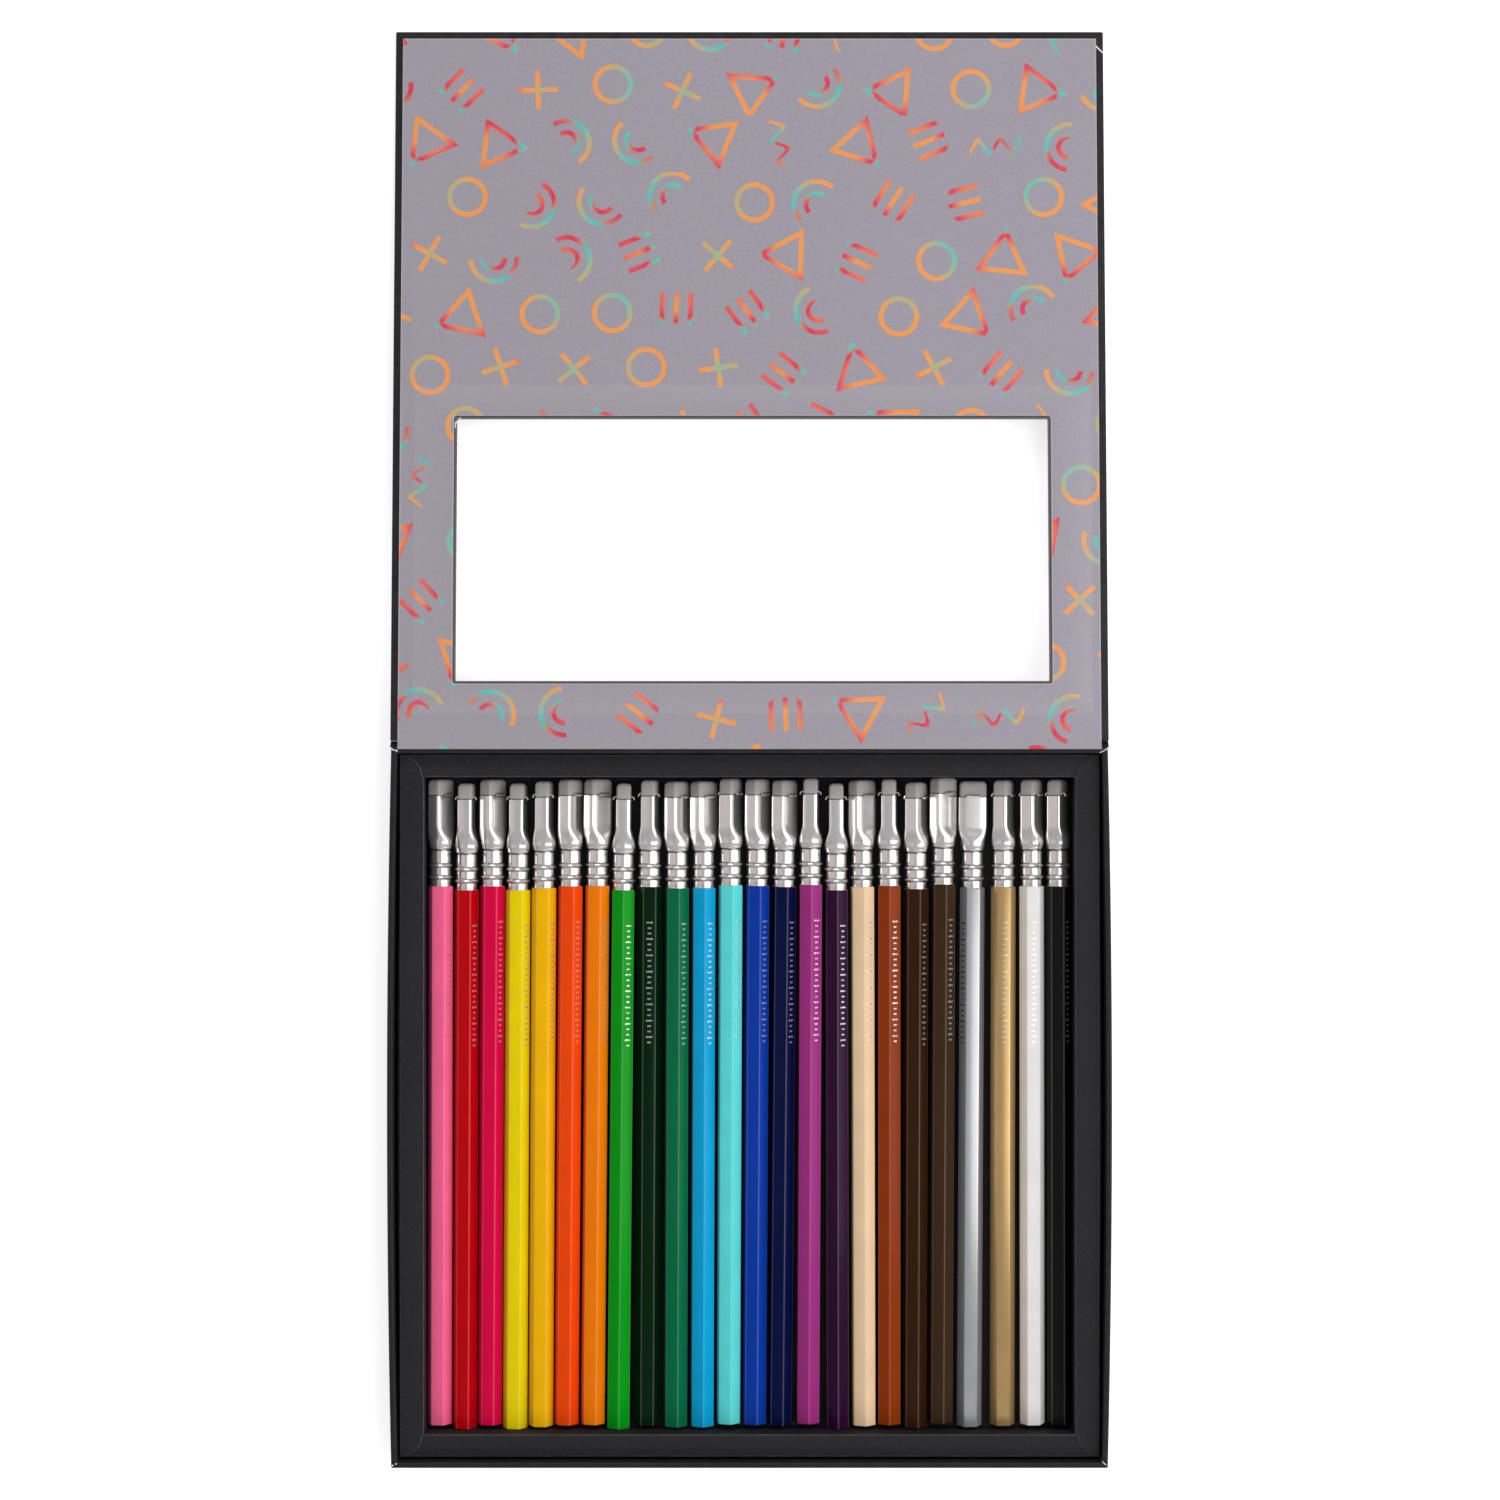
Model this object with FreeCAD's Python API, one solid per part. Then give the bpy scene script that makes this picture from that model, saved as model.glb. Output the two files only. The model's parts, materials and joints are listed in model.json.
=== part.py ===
import FreeCAD, Part
import math
import os

from FreeCAD import Placement, Rotation, Vector

# A rigid set-up box with a hinged lid, for a row of 24 coloured pencils.
# The tray and the lid are greyboard covered with black paper. A folded card insert makes the
# well that the pencils lie in. The lid has a window closed by clear film and a printed liner.
# Frame: Z up, the back wall and the hinge at +Y, the origin at the middle of the underside.
# All lengths are in millimetres and all angles in degrees. The lid is modelled lying open.

# Sheet materials
paper = 0.15
board = 1.5
card = 0.5

# Pencil casing and core
barrel_flats = 6.9
barrel_length = 168.4
barrel_corner_cut = 0.4
core_bore = 3.8
core_glue = 0.05
core_sides = 12

# Ferrule: round over the wood, then a flare, then flattened round the eraser
ferrule_diameter = 6.7
ferrule_round_length = 12.2
ferrule_flare_length = 7.2
ferrule_flat_length = 9.0
ferrule_wide = 9.0
ferrule_thick = 4.8
ferrule_corner_cut = 0.95
ferrule_wall = 0.4

# Eraser and the clip that carries it in the flattened mouth
eraser_wide = 8.6
eraser_thick = 4.4
eraser_stands_out = 5.0
eraser_edge = 0.7
eraser_tail_length = 6.0
clip_strip = 0.3
clip_width = 4.2
clip_reach = 1.0
clip_drop = 0.8
clip_play = 0.1

# The row of pencils
barrel_gap = 0.8
head_gap = 0.2
side_play = 0.6
far_side_play = 0.8
end_play = 2.1
end_gap = 0.15
rest_gap = 0.12

# Insert of folded card
flange_side = 7.5
flange_back = 7.0
flange_front = 7.0
insert_height = 14.2
side_gap = 0.6
back_gap = 0.25
front_gap = 1.0

# Tray
rim_above_insert = 3.0
side_bow = 1.3
wrap_turn_in = 13.0
wrap_turn_under = 15.0
base_sheet_inset = 2.5
stay_tape = 0.1
stay_leg = 12.0
stay_end_gap = 1.0

# Lid
lid_overhang = 0.3
lid_front_lip = 1.0
hinge_space = 2.0
closed_gap = 0.25
floor_gap = 0.05
liner_border = 2.3
lid_turn_in = 15.0
window_side_border = 19.13
window_length = 82.1
window_from_hinge = 20.8
window_shift = 0.9
window_corner = 0.9
window_reveal = 0.9
window_turn_in = 11.0
film_margin_side = 12.9
film_margin_end = 10.0
liner_on_rim = 0.45
hinge_fold_drop = 0.5
hinge_glue_width = 12.0

# One overrun serves every cut
cut_over = 1.0

# The row, from left to right: colour, roll of the barrel, roll of the head, lean of the pencil
# in the plan, the share of the end play that it has slipped towards the hinge, and the step
# from its left neighbour as a share of the mean step.
row_shares = [
    ("pink", -7.0, 60.0, -0.15, 0.35, 0.0),
    ("red", -8.0, 84.0, -0.25, -1.0, 0.97),
    ("crimson", -7.0, 55.0, -0.35, 0.35, 0.97),
    ("yellow", -5.0, 84.0, -0.35, -1.0, 0.95),
    ("golden_yellow", -3.0, 81.0, -0.35, -0.25, 0.97),
    ("vermilion", -11.0, 58.0, -0.45, 0.35, 0.99),
    ("orange", -13.0, 45.0, -0.5, 0.5, 0.99),
    ("bright_green", -26.0, 90.0, -0.55, -1.0, 0.97),
    ("dark_green", 2.0, 80.0, -0.3, 0.15, 0.99),
    ("emerald", -17.0, 55.0, -0.2, -0.35, 1.02),
    ("sky_blue", -22.0, 45.0, -0.2, -0.25, 1.0),
    ("aqua", -18.0, 65.0, -0.25, 0.7, 1.0),
    ("royal_blue", -15.0, 55.0, -0.35, 0.5, 1.0),
    ("navy", -13.0, 55.0, -0.5, 0.15, 1.0),
    ("magenta", -25.0, 86.0, -0.3, 0.85, 0.99),
    ("dark_purple", -26.0, 88.0, 0.1, -1.0, 0.97),
    ("peach", -22.0, 43.0, 0.15, 0.15, 0.97),
    ("sienna", -29.0, 85.0, 0.0, 0.5, 1.0),
    ("dark_brown", -13.0, 63.0, -0.2, -0.6, 1.01),
    ("olive_brown", -17.0, 43.0, -0.3, 1.0, 0.99),
    ("silver_grey", 3.0, 0.0, -0.35, -0.25, 1.1),
    ("gold", 0.0, 69.0, -0.1, 0.15, 1.15),
    ("white", 4.0, 63.0, 0.1, 0.35, 1.06),
    ("black", -5.0, 66.0, 0.1, 0.35, 0.96),
]


# Plain shapes

def block(x0, x1, y0, y1, z0, z1):
    return Part.makeBox(x1 - x0, y1 - y0, z1 - z0, Vector(x0, y0, z0))


def prism(points, direction):
    """Straight-sided solid on a closed outline."""
    return Part.Face(Part.makePolygon(points + points[:1])).extrude(direction)


def fused(first, *others):
    return first.fuse(list(others)).removeSplitter()


# Sections of the pencil, drawn in the plane across its axis

def barrel_outline():
    """Hexagon with its corners cut, a flat facing up, as points across the pencil's axis."""
    corner = barrel_flats / math.sqrt(3)
    side_share = barrel_corner_cut / corner
    corners = [
        Vector(corner * math.sin(turn), 0, corner * math.cos(turn))
        for turn in (math.radians(30 + 60 * k) for k in range(6))
    ]
    points = []
    for k in range(6):
        before = corners[k - 1] - corners[k]
        after = corners[(k + 1) % 6] - corners[k]
        points.append(corners[k] + before * side_share)
        points.append(corners[k] + after * side_share)
    return points


def cut_corner_outline(wide, thick, cut, y):
    """Rectangle with its corners cut at 45 degrees."""
    a = wide / 2
    b = thick / 2
    return [
        Vector(a, y, b - cut), Vector(a - cut, y, b), Vector(cut - a, y, b), Vector(-a, y, b - cut),
        Vector(-a, y, cut - b), Vector(cut - a, y, -b), Vector(a - cut, y, -b), Vector(a, y, cut - b),
    ]


def core_outline(diameter):
    """The core's circle drawn with flats."""
    turns = [math.radians(360 * k / core_sides) for k in range(core_sides)]
    return [Vector(diameter / 2 * math.cos(t), 0, diameter / 2 * math.sin(t)) for t in turns]


# Pencil: built lying along +Y from its bare end, a wide side facing up, then rolled and laid down

def casing():
    bore = prism(core_outline(core_bore), Vector(0, barrel_length, 0))
    return prism(barrel_outline(), Vector(0, barrel_length, 0)).cut(bore)


def core():
    return prism(core_outline(core_bore - 2 * core_glue), Vector(0, barrel_length, 0))


ferrule_start = barrel_length
flare_start = ferrule_start + ferrule_round_length
flat_start = flare_start + ferrule_flare_length
mouth = flat_start + ferrule_flat_length
pencil_length = mouth + eraser_stands_out
pocket_wide = ferrule_wide - 2 * ferrule_wall
pocket_thick = ferrule_thick - 2 * ferrule_wall
pocket_cut = ferrule_corner_cut - ferrule_wall * (2 - math.sqrt(2))
pocket_floor = mouth - eraser_tail_length - clip_strip - clip_play
clip_leg_out = pocket_thick / 2 - clip_play / 2
clip_lip = mouth + clip_play / 2
head_base = clip_lip + clip_strip + clip_play / 2
hook_out = ferrule_thick / 2 + clip_reach


def faced(outline_a, outline_b):
    """Solid between two outlines of as many points, whose sides are parallel and so stay flat."""
    count = len(outline_a)
    faces = [Part.Face(Part.makePolygon(o + o[:1])) for o in (outline_a, outline_b)]
    for k in range(count):
        after = (k + 1) % count
        side = [outline_a[k], outline_a[after], outline_b[after], outline_b[k], outline_a[k]]
        faces.append(Part.Face(Part.makePolygon(side)))
    return Part.Solid(Part.makeShell(faces))


def ferrule():
    """Round sleeve, flare of eight flats and flattened mouth with the pocket for clip and eraser."""
    sleeve = Part.makeCylinder(
        ferrule_diameter / 2, ferrule_round_length, Vector(0, ferrule_start, 0), Vector(0, 1, 0)
    )
    flat_outline = cut_corner_outline(ferrule_wide, ferrule_thick, ferrule_corner_cut, flat_start)
    round_cut = ferrule_diameter * (1 - math.sqrt(0.5))
    flare_outline = cut_corner_outline(ferrule_diameter, ferrule_diameter, round_cut, flare_start)
    flat = prism(flat_outline, Vector(0, ferrule_flat_length, 0))
    pocket_outline = cut_corner_outline(pocket_wide, pocket_thick, pocket_cut, pocket_floor)
    pocket = prism(pocket_outline, Vector(0, mouth - pocket_floor + cut_over, 0))
    return sleeve.fuse([faced(flare_outline, flat_outline), flat]).cut(pocket).removeSplitter()


def eraser():
    """Rubber block with broken edges, and the narrower tail that the clip holds."""
    outline = cut_corner_outline(eraser_wide, eraser_thick, eraser_edge, head_base)
    head = prism(outline, Vector(0, pencil_length - head_base, 0))
    top_edges = [e for e in head.Edges if e.BoundBox.YMin > pencil_length - eraser_edge]
    head = head.makeChamfer(eraser_edge, top_edges)
    tail_wide = pocket_wide / 2 - clip_play - pocket_cut
    tail_thick = clip_leg_out - clip_strip
    tail = block(-tail_wide, tail_wide, mouth - eraser_tail_length, head_base, -tail_thick, tail_thick)
    return fused(head, tail)


def clip():
    """Bent strip: under the tail, up both wide sides, out over the mouth and down outside."""
    half = clip_width / 2
    base_y = mouth - eraser_tail_length - clip_strip
    pieces = [block(-half, half, base_y, base_y + clip_strip, -clip_leg_out, clip_leg_out)]
    for side in (-1, 1):
        for near, far, low, high in (
            (clip_leg_out - clip_strip, clip_leg_out, base_y, clip_lip + clip_strip),
            (clip_leg_out - clip_strip, hook_out, clip_lip, clip_lip + clip_strip),
            (hook_out - clip_strip, hook_out, clip_lip - clip_drop, clip_lip + clip_strip),
        ):
            z0, z1 = sorted((side * near, side * far))
            pieces.append(block(-half, half, low, high, z0, z1))
    return fused(*pieces)


# How far a rolled section reaches from the pencil's axis, to the side and downwards

def reach(outline, roll, side):
    turn = math.radians(roll)
    across = Vector(math.sin(turn), 0, math.cos(turn))
    if side:
        across = Vector(math.cos(turn), 0, -math.sin(turn))
    return max(abs(p.dot(across)) for p in outline)


barrel_points = barrel_outline()
mouth_points = cut_corner_outline(ferrule_wide, ferrule_thick, ferrule_corner_cut, 0)
hook_points = cut_corner_outline(clip_width, 2 * hook_out, 0, 0)


def head_reach(roll, side):
    return max(reach(mouth_points, roll, side), reach(hook_points, roll, side))


# Places of the pencils across the row: a step is never less than two neighbours need
barrel_across_corners = 2 * reach(barrel_points, 0, True)
mean_step = barrel_across_corners + barrel_gap
row_x = [0.0]
for left, right in zip(row_shares, row_shares[1:]):
    heads = head_reach(left[2], True) + head_reach(right[2], True) + head_gap
    row_x.append(row_x[-1] + max(right[5] * mean_step, heads))
row_width = row_x[-1]
well_width = row_width + barrel_across_corners + side_play + far_side_play
well_length = pencil_length + end_play

# Places that the pieces share
wall = board + 2 * paper
tray_floor = 2 * paper + board
insert_top = tray_floor + insert_height
tray_height = insert_top + rim_above_insert
well_floor = tray_floor + card
insert_width = well_width + 2 * flange_side
insert_depth = flange_back + well_length + flange_front
tray_width = insert_width + 2 * side_gap + 2 * wall
tray_depth = wall + paper + back_gap + insert_depth + front_gap + wall
back = tray_depth / 2
insert_back = back - wall - paper - back_gap
insert_front = insert_back - insert_depth
well_back = insert_back - flange_back
well_front = well_back - well_length


# Tray

def bowed_block(inset, z0, z1):
    """Block on the tray's plan, inset all round. The side walls bow outwards at mid-length."""
    x = tray_width / 2 - inset
    y = tray_depth / 2 - inset
    corners = [Vector(-x, -y, z0), Vector(x, -y, z0), Vector(x, y, z0), Vector(-x, y, z0)]
    edges = [
        Part.makeLine(corners[0], corners[1]),
        Part.Arc(corners[1], Vector(x + side_bow, 0, z0), corners[2]).toShape(),
        Part.makeLine(corners[2], corners[3]),
        Part.Arc(corners[3], Vector(-x - side_bow, 0, z0), corners[0]).toShape(),
    ]
    return Part.Face(Part.Wire(edges)).extrude(Vector(0, 0, z1 - z0))


def corner_stays():
    """Tape folded round each standing corner of the board, pressed flush into it."""
    low = tray_floor
    high = tray_height - paper - stay_end_gap
    ring = bowed_block(paper, low, high)
    ring = ring.cut(bowed_block(paper + stay_tape, low - cut_over, high + cut_over))
    x = tray_width / 2
    y = tray_depth / 2
    corners = []
    for sx in (-1, 1):
        for sy in (-1, 1):
            x0, x1 = sorted((sx * (x - stay_leg), sx * (x + cut_over)))
            y0, y1 = sorted((sy * (y - stay_leg), sy * (y + cut_over)))
            corners.append(ring.common(block(x0, x1, y0, y1, low, high)))
    return Part.makeCompound([s for c in corners for s in c.Solids])


def tray_board(stays):
    outside = bowed_block(paper, 2 * paper, tray_height - paper)
    inside = bowed_block(paper + board, tray_floor, tray_height)
    return outside.cut(inside).cut(stays)


def tray_wrap():
    """Paper skin: turned in under the base, up the walls, over the rim and down inside."""
    skin = bowed_block(0, paper, tray_height)
    skin = skin.cut(bowed_block(paper, 2 * paper, tray_height - paper))
    skin = skin.cut(bowed_block(wall, tray_floor, tray_height + cut_over))
    skin = skin.cut(bowed_block(wrap_turn_under, 0, tray_floor))
    turn_low = tray_height - wrap_turn_in
    turned_in = bowed_block(wall - paper, turn_low, tray_height)
    turned_in = turned_in.cut(bowed_block(wall, turn_low - cut_over, tray_height + cut_over))
    return fused(skin, turned_in)


def base_sheet():
    return bowed_block(base_sheet_inset, 0, paper)


# Insert

def insert_card():
    """Folded card: floor, well walls, flanges and skirts. The side flanges lap over the end ones."""
    x_out = insert_width / 2
    x_in = well_width / 2
    lap = insert_top - card
    end_top = lap
    end_low = end_top - card
    outer = block(-x_out, x_out, insert_front, insert_back, tray_floor, end_top)
    hollow = block(
        -x_out + card, x_out - card, insert_front + card, insert_back - card, tray_floor - cut_over, end_low
    )
    well_outside = block(
        -x_in - card, x_in + card, well_front - card, well_back + card, tray_floor, end_top
    )
    side_hollow = [
        block(x0, x1, well_front, well_back, end_low - cut_over, end_top + cut_over)
        for x0, x1 in ((-x_out + card, -x_in - card), (x_in + card, x_out - card))
    ]
    shell = outer.cut(hollow).cut(side_hollow)
    shell = shell.fuse(well_outside)
    shell = shell.cut(block(-x_in, x_in, well_front, well_back, well_floor, insert_top))
    flaps = []
    for side in (-1, 1):
        x0, x1 = sorted((side * x_in, side * x_out))
        flaps.append(block(x0, x1, well_front, well_back, lap, insert_top))
        for centre_y, radius_y in ((well_back, flange_back), (well_front, -flange_front)):
            flaps.append(lap_end(side * x_out, centre_y, -side * flange_side, radius_y, lap))
    return fused(shell, *flaps)


def lap_end(x, y, reach_x, reach_y, z):
    """Quarter-round end of a side flange, centred on its outer edge."""
    radius = min(abs(reach_x), abs(reach_y))
    disc = Part.makeCylinder(radius, card, Vector(x, y, z))
    x0, x1 = sorted((x, x + reach_x))
    y0, y1 = sorted((y, y + reach_y))
    return disc.common(block(x0, x1, y0, y1, z, z + card))


# Lid: built lying flat behind the back wall, inside up, then tipped until its far edge is just
# off the table. The hinge line is midway across the space, so that the closed lid is flush.
lid_half_width = tray_width / 2 + lid_overhang
window_width = 2 * (lid_half_width - window_side_border)
liner_low = -closed_gap - paper
film_low = liner_low - paper
turn_in_low = film_low - paper
board_low = turn_in_low - board
lid_low = board_low - paper
hinge_line = back + hinge_space / 2
lid_near = back + hinge_space
lid_far = lid_near + tray_depth + lid_front_lip
far_reach = math.hypot(lid_far - hinge_line, lid_low)
far_drop = math.asin((tray_height - floor_gap) / far_reach)
lid_slope = math.degrees(far_drop - math.atan2(-lid_low, lid_far - hinge_line))
closing_turn = 180 + lid_slope


def tipped(shape):
    """Turned down about the hinge line, which lies level with the rim."""
    turned = shape.copy()
    turned.rotate(Vector(0, hinge_line, tray_height), Vector(1, 0, 0), -lid_slope)
    return turned


def lid_block(inset, low, high):
    return block(
        -lid_half_width + inset, lid_half_width - inset,
        lid_near + inset, lid_far - inset, tray_height + low, tray_height + high,
    )


def window_block(outset, low, high):
    near = back + window_from_hinge
    return block(
        window_shift - window_width / 2 - outset, window_shift + window_width / 2 + outset,
        near - outset, near + window_length + outset, tray_height + low, tray_height + high,
    )


def lid_board():
    window = window_block(paper, board_low - cut_over, turn_in_low + cut_over)
    return tipped(lid_block(paper, board_low, turn_in_low).cut(window))


def lid_wrap():
    """Paper cover: outside, round the edges, turned in, and turned in through the window."""
    skin = lid_block(0, lid_low, film_low)
    frame = lid_block(paper, board_low, turn_in_low)
    frame = frame.cut(window_block(paper, board_low - cut_over, turn_in_low + cut_over))
    skin = skin.cut(frame)
    skin = skin.cut(window_block(0, lid_low - cut_over, film_low + cut_over))
    bare = lid_block(lid_turn_in, turn_in_low, film_low + cut_over)
    bare = bare.cut(window_block(window_turn_in, turn_in_low - cut_over, film_low + 2 * cut_over))
    return tipped(skin.cut(bare))


def window_film():
    near = back + window_from_hinge
    side = window_width / 2 + film_margin_side
    return tipped(block(
        window_shift - side, window_shift + side,
        near - film_margin_end, near + window_length + film_margin_end,
        tray_height + film_low, tray_height + liner_low,
    ))


def lid_liner():
    sheet = block(
        -lid_half_width + liner_border, lid_half_width - liner_border,
        lid_near, lid_far - liner_border, tray_height + liner_low, tray_height - closed_gap,
    )
    window = window_block(window_reveal, liner_low - cut_over, cut_over - closed_gap)
    standing = [e for e in window.Edges if e.BoundBox.ZLength > cut_over]
    return tipped(sheet.cut(window.makeFillet(window_corner, standing)))


# Hinge: two strips that bend when the lid moves, modelled as they lie with the lid open

def sloped(y, z):
    """A point of the flat lid, as y behind the wall and z above the rim, after the lid is tipped."""
    turn = math.radians(-lid_slope)
    from_line = back + y - hinge_line
    return Vector(
        0,
        hinge_line + from_line * math.cos(turn) - z * math.sin(turn),
        tray_height + from_line * math.sin(turn) + z * math.cos(turn),
    )


def along_hinge(points, half_width):
    return prism([p + Vector(-half_width, 0, 0) for p in points], Vector(2 * half_width, 0, 0))


def liner_flap():
    """Liner's last stretch: from the lid's edge over the hinge space to the edge of the rim."""
    top = tray_height + paper
    return along_hinge([
        Vector(0, back - liner_on_rim, tray_height), Vector(0, back, tray_height),
        sloped(hinge_space, liner_low), sloped(hinge_space, -closed_gap),
        Vector(0, back, top), Vector(0, back - liner_on_rim, top),
    ], lid_half_width - liner_border)


def hinge_strip():
    """Outer hinge: glued up the wall, across the hinge space and glued under the lid."""
    low = tray_height - hinge_glue_width
    fold = tray_height - hinge_fold_drop
    return along_hinge([
        Vector(0, back, low), Vector(0, back + paper, low), Vector(0, back + paper, fold - 2 * paper),
        sloped(hinge_space, lid_low - paper), sloped(hinge_space + hinge_glue_width, lid_low - paper),
        sloped(hinge_space + hinge_glue_width, lid_low), sloped(hinge_space, lid_low),
        Vector(0, back, fold),
    ], lid_half_width)


# Laying the pencils in the well

def lay_down(index):
    """Placement of a pencil that already has its rolls: lifted at the head where that is higher."""
    barrel_roll, head_roll, lean, slip_share = row_shares[index][1:5]
    bare_end_height = reach(barrel_points, barrel_roll, False)
    rises = [
        (reach(mouth_points, head_roll, False) - bare_end_height) / flat_start,
        (reach(hook_points, head_roll, False) - bare_end_height) / mouth,
        0,
    ]
    tilt = math.degrees(math.asin(max(rises)))
    x_head = -well_width / 2 + side_play + barrel_across_corners / 2 + row_x[index]
    slip_room = end_play / 2 - end_gap
    y_end = well_front + end_play / 2 + slip_share * slip_room
    place = Vector(
        x_head + barrel_length * math.sin(math.radians(lean)), y_end,
        well_floor + rest_gap + bare_end_height,
    )
    turn = Rotation(Vector(0, 0, 1), lean).multiply(Rotation(Vector(1, 0, 0), tilt))
    return Placement(place, turn)


def rolled(shape, roll):
    turned = shape.copy()
    turned.rotate(Vector(), Vector(0, 1, 0), roll)
    return turned


def laid(shapes, index):
    """The shapes as one group of separate solids, laid in the well."""
    group = Part.makeCompound([s for shape in shapes for s in shape.Solids])
    group.Placement = lay_down(index)
    return group


nodes = {}
stays = corner_stays()
nodes["tray_board"] = tray_board(stays)
nodes["corner_stays"] = stays
nodes["tray_wrap"] = tray_wrap()
nodes["base_sheet"] = base_sheet()
nodes["insert_card"] = insert_card()
nodes["lid_board"] = lid_board()
nodes["lid_wrap"] = lid_wrap()
nodes["window_film"] = window_film()
nodes["lid_liner"] = lid_liner()
nodes["liner_flap"] = liner_flap()
nodes["hinge_strip"] = hinge_strip()

casing_solid = casing()
core_solid = core()
ferrule_solid = ferrule()
eraser_solid = eraser()
clip_solid = clip()
for index, row in enumerate(row_shares):
    number = "%02d" % (index + 1)
    colour, barrel_roll, head_roll = row[:3]
    wood = rolled(casing_solid, barrel_roll)
    sleeve = rolled(ferrule_solid, head_roll)
    refill = [rolled(clip_solid, head_roll), rolled(eraser_solid, head_roll)]
    nodes["pencil_" + number + "_" + colour] = laid([wood, core_solid, sleeve], index)
    nodes["eraser_" + number] = laid(refill, index)

os.makedirs("parts", exist_ok=True)
for name, shape in nodes.items():
    shape.exportStep("parts/" + name + ".step")

print("nodes", len(nodes), "solids", sum(len(s.Solids) for s in nodes.values()))
print("tray %.2f x %.2f x %.2f" % (tray_width, tray_depth, tray_height))
print("well %.2f x %.2f, pencil %.2f, mean step %.3f" % (well_width, well_length, pencil_length, mean_step))
print("row width %.2f, hinge line at y %.3f, closing turn %.4f" % (row_width, hinge_line, closing_turn))
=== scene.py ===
# %% [markdown]
# # A coloured pencil box, dressed for its portrait
# The box is a shallow tray with a hinged lid, both of greyboard covered with black paper. It holds
# a row of 24 hexagonal pencils in a folded card insert. The solids come from the frame. This lesson
# adds what they leave out: rounded folds, crimped ferrules, print, wear and light.
# Lengths are written in millimetres, and only the last step before a mesh turns them into metres.

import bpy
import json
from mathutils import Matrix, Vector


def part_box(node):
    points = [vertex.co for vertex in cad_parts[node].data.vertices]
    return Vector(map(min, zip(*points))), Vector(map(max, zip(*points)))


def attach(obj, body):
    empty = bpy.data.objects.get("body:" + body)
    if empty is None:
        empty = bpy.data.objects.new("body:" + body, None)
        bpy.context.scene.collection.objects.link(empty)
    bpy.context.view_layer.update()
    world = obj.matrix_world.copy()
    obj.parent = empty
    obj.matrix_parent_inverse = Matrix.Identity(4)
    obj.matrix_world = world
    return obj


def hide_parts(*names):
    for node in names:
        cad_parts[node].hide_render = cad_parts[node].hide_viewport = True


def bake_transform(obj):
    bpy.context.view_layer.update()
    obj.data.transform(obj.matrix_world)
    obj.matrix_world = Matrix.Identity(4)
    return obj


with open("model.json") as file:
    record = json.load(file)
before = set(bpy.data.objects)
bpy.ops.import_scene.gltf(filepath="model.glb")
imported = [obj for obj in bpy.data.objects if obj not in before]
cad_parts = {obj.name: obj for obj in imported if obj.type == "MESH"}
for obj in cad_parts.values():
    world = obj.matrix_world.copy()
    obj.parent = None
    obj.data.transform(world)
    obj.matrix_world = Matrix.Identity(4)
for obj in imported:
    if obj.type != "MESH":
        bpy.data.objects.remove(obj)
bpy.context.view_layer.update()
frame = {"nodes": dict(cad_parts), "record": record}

import cmath
import json
import math

import bmesh
import bpy
from mathutils import Vector

MM = 0.001

# %% [markdown]
# Every piece sits where a solid sits, so its size is read from the frame and not typed again.
# The lid slopes from the hinge line down to the table. The joint in the record gives both the
# line and, from how far it turns past level, the slope.


# %% Sizes from the frame
def box_mm(node):
    low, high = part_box(node)
    return low / MM, high / MM


hinge = next(j for j in frame["record"]["behaviour"]["joints"] if j["name"] == "lid_hinge")
hinge_y = hinge["pos_m"][1] / MM
rim_z = hinge["pos_m"][2] / MM
slope = math.radians(-hinge["range_deg"][0] - 180)
side_bow = 1.3
half_wide = box_mm("tray_wrap")[1].x - side_bow
half_deep = box_mm("tray_wrap")[1].y
paper = 0.15
rim_thick = 1.8
lid_half = box_mm("hinge_strip")[1].x
lid_lip = 1.0
lid_near = hinge_y - half_deep
lid_far = lid_near + 2 * half_deep + lid_lip
print("tray", round(2 * half_wide, 2), "x", round(2 * half_deep, 2))
print("slope of the lid", round(math.degrees(slope), 3), "degrees")


def on_lid(x, along, up):
    """A point of the lid: across, along from the hinge line, and up from the rim's level."""
    return (
        x,
        hinge_y + along * math.cos(slope) + up * math.sin(slope),
        rim_z - along * math.sin(slope) + up * math.cos(slope),
    )


# %% [markdown]
# Most pieces here are sheets and tubes, which are stacks of equal rings. A ring is a closed row of
# points. Joining each ring to the next gives a skin, and closing the stack with a face at each end,
# or with the first ring again, makes it a solid without loose edges.

# %% Rings and skins
def skin(rings, ends="caps"):
    """Joins equal rings. The ends are closed with caps, or the last ring meets the first (loop)."""
    count = len(rings[0])
    points = [p for ring in rings for p in ring]
    faces = []
    pairs = len(rings) if ends == "loop" else len(rings) - 1
    for i in range(pairs):
        a = i * count
        b = (i + 1) % len(rings) * count
        for k in range(count):
            n = (k + 1) % count
            faces.append((a + k, a + n, b + n, b + k))
    if ends == "caps":
        faces.append(tuple(range(count))[::-1])
        faces.append(tuple(range(len(points) - count, len(points))))
    return points, faces


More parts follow.
